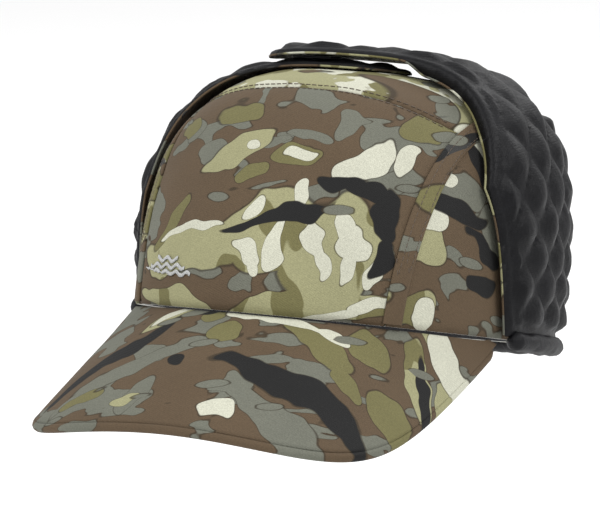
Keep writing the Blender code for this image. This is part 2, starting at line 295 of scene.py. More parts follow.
# %% Shapes at random
def scattered_shapes(tree, moved, sage_level, black_level, colour):
    """Large shapes at random: sage leaves with pale dabs, black shadows and light ellipses."""
    fill, ring = leaf(tree, moved, (1, 1, 1.7), (-0.4, 0.3, 0.1), 0.060, sage_level, 1.2, 0.6)
    tone = leaf(tree, moved, (1.4, 1.4, 0.8), (0.2, 0.1, 0.6), 0.034, 0.50)[0]
    leaf_colour = blend_colours(tree, tone, SAGE, OLIVE)
    dab, dab_ring = leaf(tree, moved, (1.6, 1.6, 0.7), (0.1, -0.3, 0.3), 0.022, 0.585, 2.0)
    leaf_colour = blend_colours(tree, dab_ring, leaf_colour, PALE)
    leaf_colour = blend_colours(tree, dab, leaf_colour, CREAM)
    colour = blend_colours(tree, times(tree, ring, 0.75), colour, OUTLINE)
    colour = blend_colours(tree, fill, colour, leaf_colour)

    fill = leaf(tree, moved, (1, 1, 2.6), (0.9, -0.5, 0.2), 0.046, black_level, 2.5, 0.6)[0]
    inner = leaf(tree, moved, (1, 1, 1.5), (0.3, 0.3, 0), 0.02, 0.56)[0]
    colour = blend_colours(tree, fill, colour, blend_colours(tree, inner, BLACK, CHARCOAL))

    fill, ring, chance = ellipses(tree, moved, (1, 1, 1.9), (0.7, 0.3, 0.4), 0.040, 0.42, 0.6)
    pale = above_level(tree, chance, 0.5, 0.01)
    dab = leaf(tree, moved, (1, 1, 1), (0, 0, 0), 0.014, 0.54)[0]
    light = blend_colours(tree, dab, PALE, CREAM)
    spots = blend_colours(tree, pale, blend_colours(tree, dab, OLIVE, SAGE), light)
    colour = blend_colours(tree, times(tree, ring, 0.8), colour, OUTLINE)
    return blend_colours(tree, fill, colour, spots)


# %% Camouflage material
def camouflage(name, shift, turn=(0.0, 0.0, 0.0), sage_level=0.53, black_level=0.60, layers=(),
               facing="FRONT"):
    """The printed twill, shifted and turned for each panel. Layers hold the shapes that are listed one by
    one.
    """
    made = bpy.data.materials.new(name)
    made.use_nodes = True
    tree = made.node_tree
    shader = tree.nodes["Principled BSDF"]
    place = node(tree, "TexCoord").outputs["Object"]
    moved = node(tree, "Mapping", None, (place, shift, turn, (1, 1, 1))).outputs[0]

    colour = BROWN
    fill, ring = leaf(tree, moved, (1, 1, 2.2), (0.5, 0.4, 0.2), 0.030, 0.575, 2.0, 0.4)
    colour = blend_colours(tree, times(tree, ring, 0.7), colour, OUTLINE)
    colour = blend_colours(tree, fill, colour, GREY)

    if layers:
        colour = placed_shapes(tree, place, layers, facing, colour)
    else:
        colour = scattered_shapes(tree, moved, sage_level, black_level, colour)

    rarity = 0.85 if layers else 0.68
    fill, ring = ellipses(tree, moved, (1, 1, 3.0), (0.5, -0.8, 0.2), 0.024, 0.36, rarity)[:2]
    colour = blend_colours(tree, times(tree, ring, 0.8), colour, OUTLINE)
    colour = blend_colours(tree, fill, colour, GREY)

    grain = node(tree, "TexNoise", None, (), Vector=place, Scale=1400.0, Detail=2.0,
                 Roughness=0.7).outputs[0]
    speck = node(tree, "MapRange", None, (grain, 0.3, 0.7, 0.86, 1.14)).outputs[0]
    worn_patch = node(tree, "TexNoise", None, (), Vector=place, Scale=26.0, Detail=3.0).outputs[0]
    fade = node(tree, "MapRange", None, (worn_patch, 0.3, 0.7, 0.93, 1.05)).outputs[0]
    tint = node(tree, "HueSaturation", None, (), Value=times(tree, speck, fade), Color=colour).outputs[0]
    tree.links.new(tint, shader.inputs["Base Color"])

    twill_turn = node(tree, "Mapping", None, (place, (0, 0, 0), (0.5, 0.6, 0.7), (1, 1, 1))).outputs[0]
    twill = node(tree, "TexWave", {"bands_direction": "DIAGONAL"}, (), Vector=twill_turn, Scale=420.0,
                 Distortion=1.2, Detail=1.0).outputs[1]
    rise = node(tree, "Math", {"operation": "ADD"}, (times(tree, twill, 0.6), grain)).outputs[0]
    bump = node(tree, "Bump", None, (), Strength=0.35, Distance=0.00025, Height=rise).outputs[0]
    tree.links.new(bump, shader.inputs["Normal"])
    rough = node(tree, "MapRange", None, (grain, 0.2, 0.8, 0.72, 0.88)).outputs[0]
    tree.links.new(rough, shader.inputs["Roughness"])
    shader.inputs["Sheen Weight"].default_value = 0.02
    shader.inputs["Specular IOR Level"].default_value = 0.14
    print(name, len(tree.nodes), "nodes")
    return made


# %% [markdown]
# ## Crown panels
# The crown has a wide centre band from front to back and two side panels. The band is cut across twice,
# into front, top and back. Each panel is a skin of the block between planes. Its cloth dips towards a
# seam, as it does where it is turned under, and a slow noise gives the soft unevenness of cloth over
# wadding.

# %% Crown panels
SIDE_SEAM, SIDE_SEAM_LEAN, SEAM_GAP = 61.0, 0.06, 0.12
TOP_SEAM = Vector((0.0, 0.53, 0.848))
TOP_SEAM_REACH = 60.0
FINE = 61


def margin(point, planes):
    """How far a point is inside the nearest of the planes that bound a piece."""
    return min((point - place).dot(normal) for place, normal in planes)


def sew_dip(point, planes, depth=0.9, width=3.0):
    """The turned edge of a panel: the cloth drops towards its seam."""
    near = min(max(margin(point, planes) / width, 0.0), 1.0)
    return -depth * (1 - near) ** 2


def slow_waves(point, size, depth):
    """Gentle noise waves of a size and a depth."""
    return depth * noise.noise(point / size)


def cloth_rise(point):
    """The soft unevenness of the crown's cloth over its wadding."""
    return slow_waves(point, 34.0, 0.9) + slow_waves(point, 13.0, 0.2)


def crown_panel(name, planes, material, node_name):
    """One panel of the crown between planes, with its edges turned down along the seams."""
    bm = block_skin(0.0, HEIGHT, CROWN_SQUARENESS, FINE)
    for place, normal in planes:
        cut(bm, place, normal)
    seams = planes + [(Vector((0, 0, 0)), Vector((0, 0, 1)))]

    def face(point):
        pucker = 0.22 * noise.noise(point / 4.0) * (1 - ease(margin(point, planes) / 9.0))
        return sew_dip(point, seams) + cloth_rise(point) + pucker

    def lining_side(point):
        return -1.3 + slow_waves(point, 34.0, 0.3)

    thicken(bm, face, lining_side)
    finish_piece(bm, name, "crown", material, [node_name])


def plane(place, normal):
    """A cutting plane through a place. Its normal points to the side that is kept."""
    return Vector(place), Vector(normal).normalized()


def seam_plane(end, keep):
    """The seam across the crown at the front (-1) or the back (1), to keep its top (1) or its foot (-1)."""
    normal = Vector((0, -end * TOP_SEAM.y, TOP_SEAM.z))
    return plane(normal * (TOP_SEAM_REACH + keep * SEAM_GAP), normal * keep)


# %% [markdown]
# ## The cut of the front and the near side
# A shape is a few ellipses that run together. Each is written as its place across and up, half its width,
# half its height and its tilt in degrees, in millimetres as the cap is worn. Later rows lie over earlier
# ones. On the near side the black row is painted shadow, drawn as black print shapes: it darkens the side
# panel in the gap beside the flap's front edge.

# %% Shapes of the front and the near side
FRONT_SHAPES = [
    (GREY, [(50, 72, 12, 5, 5), (-30, 84, 6, 2.5, 25), (16, 97, 9, 2, 4), (30, 100, 7, 2, 0),
            (2, 93, 8, 2, 5), (-46, 92, 7, 6, 30), (-20, 107, 5, 2, 60)]),
    (SAGE, [(-28, 46, 30, 10, 10), (12, 57, 25, 14, 8), (38, 47, 17, 23, 0), (34, 25, 32, 8, 0),
            (-34, 24, 26, 6, 0), (-15, 88, 19, 5, 30)]),
    (OLIVE, [(-42, 56, 15, 4, 45), (-24, 101, 12, 6, 15), (-3, 79, 10, 4, 10), (15, 88, 10, 4.5, 8),
             (56, 96, 9, 7, -30), (-52, 92, 8, 5, 30)]),
    (CREAM, [(-30, 54, 19, 2.4, 14), (6, 49, 8, 3.5, -10), (10, 45, 4, 3.5, -40), (18, 53, 3.2, 9, 0),
             (31, 56, 3.2, 10, 10), (33, 44, 2.8, 7, 0), (42, 58, 3, 7, 30), (44, 50, 6, 7, 0),
             (42, 41, 3, 6, 0), (54, 40, 4, 6, 0), (38, 19, 12, 2.6, 8), (52, 25, 9, 4, 20),
             (2, 65, 5, 3, 30), (24, 71, 3, 6, 0), (17, 89, 6, 2.6, 8), (43, 83, 9, 7.5, 0),
             (57, 80, 5, 6, 0), (-8, 91, 4, 2.4, 20)]),
    (BLACK, [(13, 62, 24, 2.4, 17), (37, 76, 8, 3.4, -22), (47, 70, 8, 2.8, -25), (55, 60, 3.6, 10, 8),
             (55, 45, 3.4, 7, -8)]),
]
SIDE_SHAPES_AND_SHADOW = [
    (GREY, [(-26, 71, 14, 8, 0), (-44, 66, 8, 4, 10), (-13, 52, 8, 14, 0), (-8, 92, 12, 7, 20),
            (-30, 86, 7, 5, 30)]),
    (SAGE, [(-50, 50, 10, 11, 0), (-40, 78, 5, 5.5, 0), (-62, 22, 10, 10, 0), (20, 40, 20, 14, 20)]),
    (CREAM, [(-43, 56, 8, 5, 0), (-31, 76, 4.5, 4, 0), (-60, 19, 7, 9, 0), (4, 92, 6, 14, -20)]),
    # black: painted shadow in the gap between the side panel and the flap's front edge
    (BLACK, [(-32, 62, 17, 4.5, -12), (-20, 44, 3.5, 13, 20), (-6, 72, 5, 18, 0), (-24, 29, 9, 4, -40),
             (-8, 34, 5, 9, 0)]),
]
print(sum(len(spots) for colour, spots in FRONT_SHAPES + SIDE_SHAPES_AND_SHADOW), "ellipses")

# %% Panels between the seams
front_camo = camouflage("camouflage_front", (0.31, 0.07, 0.12), (0.1, 0.0, 0.3), layers=FRONT_SHAPES)
top_camo = camouflage("camouflage_top", (0.11, 0.43, 0.72), (0.2, 0.1, 0.0), 0.49)
back_camo = camouflage("camouflage_back", (0.61, 0.23, 0.32), (0.0, 0.3, 0.1))
# the near side's cloth carries painted shadow from its black row, beside the flap's front edge
left_camo = camouflage("camouflage_left", (0.87, 0.57, 0.17), (0.4, 0.1, 0.0), layers=SIDE_SHAPES_AND_SHADOW,
                       facing="SIDE")
right_camo = camouflage("camouflage_right", (0.27, 0.91, 0.44), (0.3, 0.0, 0.2))
band_sides = [plane((side * (SIDE_SEAM - SEAM_GAP), 0, 0), (-side, 0, SIDE_SEAM_LEAN)) for side in (-1, 1)]
front_half, back_half = plane((0, 0, 0), (0, -1, 0)), plane((0, 0, 0), (0, 1, 0))
crown_panel("crown_front_cloth", band_sides + [seam_plane(-1, -1), front_half], front_camo, "front_panel")
crown_panel("crown_back_cloth", band_sides + [seam_plane(1, -1), back_half], back_camo, "back_panel")
crown_panel("crown_top_cloth", band_sides + [seam_plane(-1, 1), seam_plane(1, 1)], top_camo, "top_panel")
for prefix, side, material in (("left", 1, left_camo), ("right", -1, right_camo)):
    past_seam = plane((side * (SIDE_SEAM + SEAM_GAP), 0, 0), (side, 0, -SIDE_SEAM_LEAN))
    crown_panel(f"crown_{prefix}_cloth", [past_seam], material, f"side_panel_{prefix}")


# %% [markdown]
# ## Felled seam strips
# A flat strip is felled over each side seam, from the visor over the crown to the back. It is a narrow
# skin of the same block that stands a little proud, with its edges turned down.

# %% Seam strips
STRIP_INNER, STRIP_OUTER, STRIP_FINE = SIDE_SEAM - 1.2, SIDE_SEAM + 4.6, 121


def seam_strip(name, side, material, node_name):
    """One narrow strip that lies over a side seam and sinks at both of its edges."""
    edges = [plane((side * STRIP_INNER, 0, 0), (side, 0, -SIDE_SEAM_LEAN)),
             plane((side * STRIP_OUTER, 0, 0), (-side, 0, SIDE_SEAM_LEAN))]
    bm = block_skin(0.1, HEIGHT + 0.1, CROWN_SQUARENESS, STRIP_FINE)
    for place, normal in edges + [plane((0, 0, 1.0), (0, 0, 1))]:
        cut(bm, place, normal)

    def face(point):
        return 0.95 + sew_dip(point, edges, 0.55, 1.1) + cloth_rise(point)

    thicken(bm, face, lambda p: cloth_rise(p) - 0.7)
    finish_piece(bm, name, "crown", material, [node_name])


strip_left_camo = camouflage("camouflage_strip_left", (0.42, 0.13, 0.81), (0, 0, 0), 0.63, 0.66)
strip_right_camo = camouflage("camouflage_strip_right", (0.15, 0.66, 0.29))
seam_strip("crown_strip_left", 1, strip_left_camo, "seam_strip_left")
seam_strip("crown_strip_right", -1, strip_right_camo, "seam_strip_right")

# %% [markdown]
# ## Visor
# The visor is a moulded board between two cloths, with the cloth rolled over its free edge. Each cloth is
# a flat grid that is bent between two lines: the root, which follows the crown's foot, and the free edge.
# The same rule that made the board gives both lines, so cloth and board agree.

# %% Lines of the visor
VISOR_WRAP = radians(79.0)
VISOR_HALF_WIDTH, VISOR_FRONT, VISOR_TAIL = 85.5, -157.0, -16.0
VISOR_DROP, VISOR_ARCH, VISOR_CAMBER = 62.0, 0.2, 3.0
VISOR_CORNER, VISOR_SIDE, VISOR_FALL = 0.88, 0.3, 1.4
ROOT_HEIGHT, TAIL_HEIGHT = -2.5, -3.4


def free_edge(turn):
    """A point of the visor's free edge for a turn from -90 to 90 degrees."""
    across = abs(sin(turn)) ** VISOR_CORNER
    forward = max(cos(turn), 0.0) ** VISOR_SIDE
    y = VISOR_TAIL + (VISOR_FRONT - VISOR_TAIL) * forward
    fall = 1 - (1 - forward) ** VISOR_FALL
    arch = 1 - VISOR_ARCH * (1 - across ** 2)
    side = 1 if turn >= 0 else -1
    return Vector((side * VISOR_HALF_WIDTH * across, y, TAIL_HEIGHT - VISOR_DROP * fall * arch))


def even_edge(count):
    """The free edge as evenly spaced points."""
    shares = [i / 1000 - 1 for i in range(2001)]
    fine = [free_edge(pi / 2 * (1 - (1 - abs(s)) ** 4) * (1 if s > 0 else -1)) for s in shares]
    run = [0.0]
    for first, second in zip(fine, fine[1:]):
        run.append(run[-1] + (second - first).length)
    spaced, at = [], 0
    for i in range(count + 1):
        goal = run[-1] * i / count
        while at < len(fine) - 2 and run[at + 1] < goal:
            at += 1
        spaced.append(fine[at].lerp(fine[at + 1], (goal - run[at]) / (run[at + 1] - run[at])))
    return spaced


COLUMNS, ROWS = 150, 40
edge_line = even_edge(COLUMNS)
print("visor edge", round(sum((b - a).length for a, b in zip(edge_line, edge_line[1:]))), "mm long")


def visor_point(column, share):
    """A point of the visor's middle face: share runs from 0 at the root to 1 at the free edge."""
    angle = VISOR_WRAP * (2 * column / COLUMNS - 1)
    root = Vector(((HALF_WIDTH - 3) * sin(angle), -(HALF_LENGTH - 3) * cos(angle), ROOT_HEIGHT))
    bulge = VISOR_CAMBER * 4 * share * (1 - share) * cos(angle) ** 2
    return root.lerp(edge_line[column], share) + Vector((0, -bulge * 0.6, bulge * 0.8))


# %% Visor cloths
def visor_cloth(name, high, low, material, node_name):
    """One cloth of the visor between two heights over the middle of the board."""
    bm = bmesh.new()
    bmesh.ops.create_grid(bm, x_segments=COLUMNS, y_segments=ROWS, size=1.0)
    for vert in bm.verts:
        column = round((vert.co.x + 1) / 2 * COLUMNS)
        vert.co = visor_point(column, (vert.co.y + 1) / 2)
    bm.normal_update()
    if sum(face.normal.z for face in bm.faces) < 0:
        bmesh.ops.reverse_faces(bm, faces=bm.faces[:])
    thicken(bm, lambda p: high + slow_waves(p, 22.0, 0.25), lambda p: low + slow_waves(p, 22.0, 0.2))
    finish_piece(bm, name, "crown", material, [node_name])


VISOR_SHAPES = [
    (GREY, [(-28, -131, 30, 5, 28), (-22, -150, 10, 5, 60), (42, -150, 28, 7, -12), (20, -143, 12, 4, 20),
            (62, -66, 7, 4, 30), (-50, -146, 14, 3, 40)]),
    (OLIVE, [(44, -104, 17, 8, -10), (62, -115, 9, 5, -30), (80, -110, 9, 10, 0), (-6, -104, 8, 4, 0),
             (60, -88, 10, 9, 0), (-48, -148, 9, 3, 30), (5, -113, 9, 5, 0)]),
    (SAGE, [(80, -80, 5, 16, 20), (87, -66, 4, 14, 10), (-30, -102, 14, 4, 20), (-26, -152, 7, 2.5, 20),
            (74, -54, 10, 6, 0)]),
    (CREAM, [(22, -101, 20, 4, 8), (19, -158, 9, 5, 10), (82, -52, 7, 10, 0), (-32, -101, 10, 2.5, 25),
             (46, -95, 8, 4, 30)]),
    (BLACK, [(46, -132, 40, 8, -3), (-48, -123, 28, 5.5, 38), (-12, -133, 4, 4.5, 0),
             (-12, -100, 12, 3, 10), (83, -82, 2, 14, 20), (66, -58, 6, 3, 20)]),
]
visor_camo = camouflage("camouflage_visor", (0.53, 0.31, 0.05), (0.6, 0.3, 0.9), layers=VISOR_SHAPES,
                        facing="TOP")
under_camo = camouflage("camouflage_under", (0.73, 0.11, 0.35), (0.6, 0.3, 0.2))
visor_cloth("visor_upper_cloth", 2.1, 1.0, visor_camo, "visor_top_fabric")
visor_cloth("visor_lower_cloth", -1.0, -2.1, under_camo, "visor_under_fabric")


# %% Visor edge
def tube_along(name, points, radius, body, material, sides=12):
    """A round roll of cloth along a line of points, with rounded ends."""
    curve = bpy.data.curves.new(name, "CURVE")
    curve.dimensions = "3D"
    curve.bevel_depth = radius * MM
    curve.bevel_resolution = sides // 4
    curve.use_fill_caps = True
    spline = curve.splines.new("POLY")
    spline.points.add(len(points) - 1)
    for target, point in zip(spline.points, points):
        target.co = (*worn(point), 1.0)
    for at, share in ((0, 0.25), (1, 0.75), (-2, 0.75), (-1, 0.25)):
        spline.points[at].radius = share
    holder = bpy.data.objects.new(name, curve)
    mesh = bpy.data.meshes.new_from_object(holder)
    bpy.data.objects.remove(holder)
    mesh.shade_smooth()
    mesh.materials.clear()
    mesh.materials.append(material)
    piece = bpy.data.objects.new(name, mesh)
    bpy.context.collection.objects.link(piece)
    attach(piece, body)
    print(name, len(mesh.polygons), "faces")
    return piece


rim = []
for index in range(1, COLUMNS):
    along = edge_line[index + 1] - edge_line[index - 1]
    inward = visor_point(index, 0.95) - edge_line[index]
    sideways = -(inward - along * inward.dot(along) / along.length_squared).normalized()
    rim.append(edge_line[index] + sideways * 1.2)
edge_roll = tube_along("visor_edge_roll", rim, 2.15, "crown", visor_camo)
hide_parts("visor_edge_binding")

# %% [markdown]
# ## Quilted flap cloth
# The flap's outside is thin black ripstop, stitched in diamonds through loose wadding. The satin face is
# dark with a soft gloss, a fine square ripstop grid and small creases that run into the stitch lines.
# Gloss comes from the shader and the lights, so the puffed diamonds catch the light by their real shape.

# %% Quilt material
def quilt_cloth(name, ground, gloss):
    """A soft dark cloth with a square grid and small creases."""
    made = bpy.data.materials.new(name)
    made.use_nodes = True
    tree = made.node_tree
    shader = tree.nodes["Principled BSDF"]
    place = node(tree, "TexCoord").outputs["Object"]
    soft = node(tree, "TexNoise", None, (), Vector=place, Scale=55.0, Detail=4.0, Roughness=0.6).outputs[0]
    fine = node(tree, "TexNoise", None, (), Vector=place, Scale=1100.0, Detail=2.0).outputs[0]
    value = node(tree, "MapRange", None, (soft, 0.3, 0.7, 0.75, 1.3)).outputs[0]
    speck = node(tree, "MapRange", None, (fine, 0.3, 0.7, 0.8, 1.25)).outputs[0]
    tint = node(tree, "HueSaturation", None, (), Value=times(tree, value, speck), Color=ground).outputs[0]
    tree.links.new(tint, shader.inputs["Base Color"])
    creases = node(tree, "TexNoise", None, (), Vector=place, Scale=150.0, Detail=4.0, Roughness=0.65,
                   Distortion=0.9).outputs[0]
    grid_x = node(tree, "TexWave", {"bands_direction": "X"}, (), Vector=place, Scale=330.0).outputs[1]
    grid_z = node(tree, "TexWave", {"bands_direction": "Z"}, (), Vector=place, Scale=330.0).outputs[1]
    ripstop = node(tree, "Math", {"operation": "MAXIMUM"}, (grid_x, grid_z)).outputs[0]
    rise = node(tree, "Math", {"operation": "MULTIPLY_ADD"}, (ripstop, 0.12, creases)).outputs[0]
    bump = node(tree, "Bump", None, (), Strength=0.55, Distance=0.0009, Height=rise).outputs[0]
    tree.links.new(bump, shader.inputs["Normal"])
    rough = node(tree, "MapRange", None, (soft, 0.3, 0.7, gloss - 0.07, gloss + 0.1)).outputs[0]
    tree.links.new(rough, shader.inputs["Roughness"])
    shader.inputs["Specular IOR Level"].default_value = 0.13
    print(name, len(tree.nodes), "nodes")
    return made


quilt_black = quilt_cloth("quilt_ripstop", shade(17, 17, 19), 0.46)
quilt_roll = quilt_cloth("quilt_roll", shade(21, 21, 23), 0.5)

# %% [markdown]
# ## Ear flaps
# An ear flap and its tip are one length of cloth. It climbs from the fold at the crown's foot, bends at
# the shoulder and ends in a tongue over the top. The outline is cut from a skin of a larger block. The
# two flaps differ a little: the left one stands taller and reaches further, so its tongue lies on the
# right one.

# %% Flap outline
FLAP_GAP = 3.5
LEFT_HEIGHT, RIGHT_HEIGHT = 120.3, 114.5
FOLD_FRONT, FOLD_BACK = Vector((100.5, -30.0, -1.5)), Vector((68.0, 90.0, -1.5))
SHOULDER, TONGUE_BACK, EAR_TOP = 71.0, 46.0, 112.0
SEAM_HALF = 0.6  # half of the gap between an ear flap and the neck flap
EDGE_FOOT, EDGE_TURN = -17.5, 65.0  # where the front edge starts, and the height at which it turns back
FRONT_EDGES = {1: (0.22, -32.0, 0.33), -1: (0.36, -41.0, 0.5)}  # lean below the turn, place, lean above it


def fold_direction(side):
    """The direction of an ear flap's fold line, from front to back."""
    line = FOLD_BACK - FOLD_FRONT
    return Vector((side * line.x, line.y, 0)).normalized()


def outward(side):
    """The level direction that an ear flap faces."""
    along = fold_direction(side)
    return Vector((side * along.y, -side * along.x, 0))


def tongue_end(side, reach):
    """Planes that round off the tongue's end, tangent to an ellipse."""
    long_half, wide_half = 22.0, 19.0
    centre = Vector((side * (reach + long_half), 2.0, 0))
    planes = []
    for step in range(-5, 6):
        turn = radians(15.5 * step)
        edge = centre + Vector((-side * long_half * cos(turn), wide_half * sin(turn), 0))
        planes.append(plane(edge, (side * cos(turn) / long_half, -sin(turn) / wide_half, 0)))
    return planes


class EarOutline:
    """The outline of one ear flap with its tongue, as planes. Trim draws all of it in."""

    def __init__(self, side, reach, trim=0.0):
        along = fold_direction(side)
        back = Vector((side * FOLD_BACK.x, FOLD_BACK.y, 0))
        low_lean, turn_y, high_lean = FRONT_EDGES[side]
        self.bounds = [
            plane((0, EDGE_FOOT, 0), (0, 1, low_lean)),
            plane((0, turn_y, EDGE_TURN), (0, 1, -high_lean)),
            plane(back - along * SEAM_HALF, -along),
            plane((0, 0, 1.0), (0, 0, 1)),
        ]
        tongue_back = plane((side * 62, TONGUE_BACK, 0), (side * 0.26, -1, 0))
        self.tongue = tongue_end(side, reach) + [tongue_back]
        self.bounds = [(place + normal * trim, normal) for place, normal in self.bounds]
        self.tongue = [(place + normal * trim, normal) for place, normal in self.tongue]
        self.ear_top = plane((0, TONGUE_BACK, EAR_TOP - trim), (0, -0.42, -1))
        self.shoulder = plane(outward(side) * (SHOULDER + 0.35), outward(side))

    def inside(self, point):
        """How far a point is inside the outline, in millimetres."""
        over_top, below = margin(point, self.tongue), margin(point, [self.ear_top, self.shoulder])
        return min(margin(point, self.bounds), max(over_top, below))

    def trim_skin(self, bm):
        """Cut a skin along every plane and delete the faces that lie outside."""
        for place, normal in self.bounds:
            cut(bm, place, normal)
        for place, normal in self.tongue + [self.ear_top, self.shoulder]:
            everything = bm.verts[:] + bm.edges[:] + bm.faces[:]
            bmesh.ops.bisect_plane(bm, geom=everything, plane_co=place, plane_no=normal, dist=1e-4)
        outside = [face for face in bm.faces if self.inside(face.calc_center_median()) < 0]
        bmesh.ops.delete(bm, geom=outside, context="FACES")


# %% [markdown]
# ## Quilting
# The wadding pillows between stitched diamonds, lies flat in a border along the edge and closes in a
# rounded rim. The face is raised point by point, as a stitched quilt has one skin and no loose cushions,
# so a rule for the height says all of it.

# %% Height of the quilt
DIAMOND_WIDE, DIAMOND_TALL = 23.0, 29.0
ARC_RADIUS = 110.0  # turns an angle about the crown's foot into a length over the crown
BORDER, RIM, LOW_LOFT = 4.6, 3.2, 2.6
FLAP_CLOTH_FINE, FLAP_FINE = 85, 111


def pillow(a, b):
    """Height from 0 on a stitch line to 1 in the middle of a diamond."""
    first = (a / DIAMOND_WIDE + b / DIAMOND_TALL) % 1.0
    second = (a / DIAMOND_WIDE - b / DIAMOND_TALL) % 1.0
    return (sin(pi * first) * sin(pi * second)) ** 0.7


def quilt_height(point, along, out, inside, thin, loft):
    """How far the quilted face stands off the camouflage cloth at a point."""
    a = point.dot(along)
    b = ARC_RADIUS * atan2(point.z, point.dot(out))
    rim = min(max(inside / RIM, 0.0), 1.0)
    rounding = sqrt(max(1 - (1 - rim) ** 2, 0.0))
    field = ease((inside - BORDER) / 3.0)
    top_stitch = 0.55 * max(1 - abs(inside - BORDER) / 0.9, 0.0)
    wrinkle = 0.25 * noise.noise(Vector((a * 2.2, b * 0.5, 3)) / 3.0)
    crease = 0.4 * noise.noise(Vector((a, b, 0)) / 5.0) + wrinkle
    soft = LOW_LOFT + field * (0.5 + 3.8 * pillow(a, b) + crease) - top_stitch
    return 1.0 + rounding * soft * (1 - thin * (1 - loft))


# %% [markdown]
# ## Sewing the ear flaps
# Each ear flap is one camouflage cloth and one quilted face. Both run in one piece from the flap over the
# shoulder to the tip, where the cloth turns in a soft curve, and they ride on no body.


# %% Ear flaps
LEFT_REACH, RIGHT_REACH = -46.0, -22.0
LEFT_LOFT, RIGHT_LOFT = 0.72, 0.48  # how much of the loft is left at the end of the tongue
SAG, FILL = 4.5, 0.6


def make_ear(prefix, side, height, reach, loft, camo):
    """The camouflage cloth and the quilted, padded face of one ear flap."""
    along, out = fold_direction(side), outward(side)

    def thin(point):
        """From 0 on the ear to 1 on the tongue, where less wadding is left."""
        return ease((92.0 - point.dot(out)) / 34.0)

    def sag(point):
        """The upper, left tongue settles on the crown beyond the end of the lower one."""
        if side < 0:
            return 0.0
        return SAG * ease((point.x - 26) / 14) * ease((78 - point.dot(out)) / 14)

    bm = block_skin(FLAP_GAP, height, FLAP_SQUARENESS, FLAP_CLOTH_FINE)
    EarOutline(side, reach).trim_skin(bm)
    thicken(bm, lambda p: 0.95 - sag(p), lambda p: -sag(p))
    nodes = [prefix + "_flap_shell", prefix + "_tip_shell"]
    cloth = finish_piece(bm, prefix + "_flap_cloth", None, camo, nodes)
    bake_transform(cloth)

    outline = EarOutline(side, reach, 0.25)
    bm = block_skin(FLAP_GAP, height, FLAP_SQUARENESS, FLAP_FINE)
    outline.trim_skin(bm)
    thicken(bm, lambda p: quilt_height(p, along, out, outline.inside(p), thin(p), loft),
            lambda p: 1.0 - sag(p))
    nodes = [prefix + "_flap_lining", prefix + "_flap_insulation", prefix + "_tip_lining"]
    quilt = finish_piece(bm, prefix + "_flap_quilt", None, quilt_black, nodes)
    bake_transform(quilt)


left_flap_camo = camouflage("camouflage_left_flap", (0.47, 0.39, 0.93), (0.1, 0.2, 0.5), 0.44, 0.7)
right_flap_camo = camouflage("camouflage_right_flap", (0.19, 0.77, 0.51), (0.4, 0.5, 0.1))
make_ear("left", 1, LEFT_HEIGHT, LEFT_REACH, LEFT_LOFT, left_flap_camo)
make_ear("right", -1, RIGHT_HEIGHT, RIGHT_REACH, RIGHT_LOFT, right_flap_camo)

# %% [markdown]
# ## Neck flap
# The neck flap closes the back between the two ear flaps. Its foot is curved while the fold line is
# straight, so a rigid flap would tear away; here it is built in place, folded up, and rides on no body.

# %% Neck flap
NECK_TOP, NECK_FRONT = 86.0, 40.0


def make_neck(camo):
    """The middle of the flap, which folds about a line across the back."""
    out, along = Vector((0, 1, 0)), Vector((1, 0, 0))
    bounds = [plane((0, 0, 1.0), (0, 0, 1)), plane((0, 0, NECK_TOP), (0, 0, -1)),
              plane((0, NECK_FRONT, 0), (0, 1, 0))]
    for side in (-1, 1):
        back = Vector((side * FOLD_BACK.x, FOLD_BACK.y, 0))
        bounds.append(plane(back + fold_direction(side) * SEAM_HALF, fold_direction(side)))
    bm = block_skin(FLAP_GAP, RIGHT_HEIGHT, FLAP_SQUARENESS, FLAP_CLOTH_FINE)
    for place, normal in bounds:
        cut(bm, place, normal)
    thicken(bm, lambda p: 0.95, lambda p: 0.0)
    cloth = finish_piece(bm, "neck_flap_cloth", None, camo, ["neck_flap_shell"])

    bm = block_skin(FLAP_GAP, RIGHT_HEIGHT, FLAP_SQUARENESS, FLAP_FINE)
    for place, normal in bounds:
        cut(bm, place, normal)
    thicken(bm, lambda p: quilt_height(p, along, out, margin(p, bounds), 0.0, 1.0), lambda p: 1.0)
    quilt = finish_piece(bm, "neck_flap_quilt", None, quilt_black,
                         ["neck_flap_lining", "neck_flap_insulation"])
    for piece in (cloth, quilt):
        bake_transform(piece)


make_neck(camouflage("camouflage_neck", (0.83, 0.29, 0.61), (0.2, 0.4, 0.3)))

# %% [markdown]
# ## The fold
# Where the flap turns up, the quilted cloth rolls under the crown's foot. A soft roll runs along the foot
# from one end of the flap to the other. It pinches a little at each stitch line.

# %% Fold roll
ROLL_RADIUS, ROLL_START, ROLL_STEPS = 4.4, radians(82), 240
ROLL_HALF_WIDTH, ROLL_HALF_LENGTH = HALF_WIDTH + 6.6, HALF_LENGTH + 6.6
roll_points = []
for index in range(ROLL_STEPS + 1):
    angle = ROLL_START + (2 * pi - 2 * ROLL_START) * index / ROLL_STEPS
    roll_points.append(Vector((ROLL_HALF_WIDTH * sin(angle), -ROLL_HALF_LENGTH * cos(angle), -0.4)))
fold_roll = tube_along("fold_roll", roll_points, ROLL_RADIUS, "crown", quilt_roll, 24)
for vert in fold_roll.data.vertices:
    block = PITCH.inverted() @ vert.co / MM
    pinch = 1 - pillow(ARC_RADIUS * atan2(block.x, -block.y), 4.0 * block.z)
    inward = 1 if block.z > -1 else -1
    vert.co.z += MM * (0.5 * noise.noise(block / 7.0) - 0.5 * pinch * inward)

# %% [markdown]
# ## Inside the crown
# A soft lining covers the wadding, and a folded sweatband runs round the opening. Both are skins of a
# smaller block, and the band thins to a rounded upper edge.

# %% Lining and sweatband
BAND_HEIGHT = 32.0
lining_cloth = quilt_cloth("lining_jersey", shade(48, 48, 50), 0.8)


